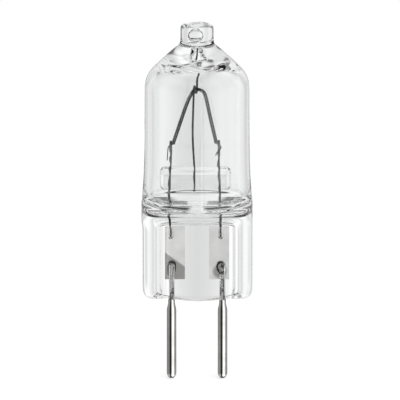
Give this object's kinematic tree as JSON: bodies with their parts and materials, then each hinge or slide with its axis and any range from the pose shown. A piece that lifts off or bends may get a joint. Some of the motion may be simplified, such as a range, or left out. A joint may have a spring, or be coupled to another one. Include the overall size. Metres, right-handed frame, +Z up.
{
  "type": "halogen capsule bulb",
  "caption": "Clear quartz halogen capsule bulb with a coiled filament on a bridge mount, a foil pinch seal and straight contact pins for a push-in lamp holder.",
  "frame": {"origin": "midway between the two contact pins, in the plane where they reach their full diameter below the neck", "axes": "+Z up the bulb's axis from the pins to the tipped-off nub, X along the line of the pins, -Y towards the front"},
  "size_m": [0.0138, 0.0136, 0.0451],
  "materials": {
    "quartz_glass": "clear polished quartz glass",
    "tungsten": "dark grey drawn tungsten wire",
    "molybdenum": "grey drawn and rolled molybdenum",
    "nickel": "bright drawn nickel"
  },
  "bodies": {
    "root": {"quartz_envelope": "quartz_glass", "quartz_bridge": "quartz_glass", "filament": "tungsten", "filament_support": "tungsten", "inner_lead_left": "molybdenum", "inner_lead_right": "molybdenum", "seal_foil_left": "molybdenum", "seal_foil_right": "molybdenum", "outer_lead_left": "molybdenum", "outer_lead_right": "molybdenum", "contact_pin_left": "nickel", "contact_pin_right": "nickel"}
  },
  "joints": []
}
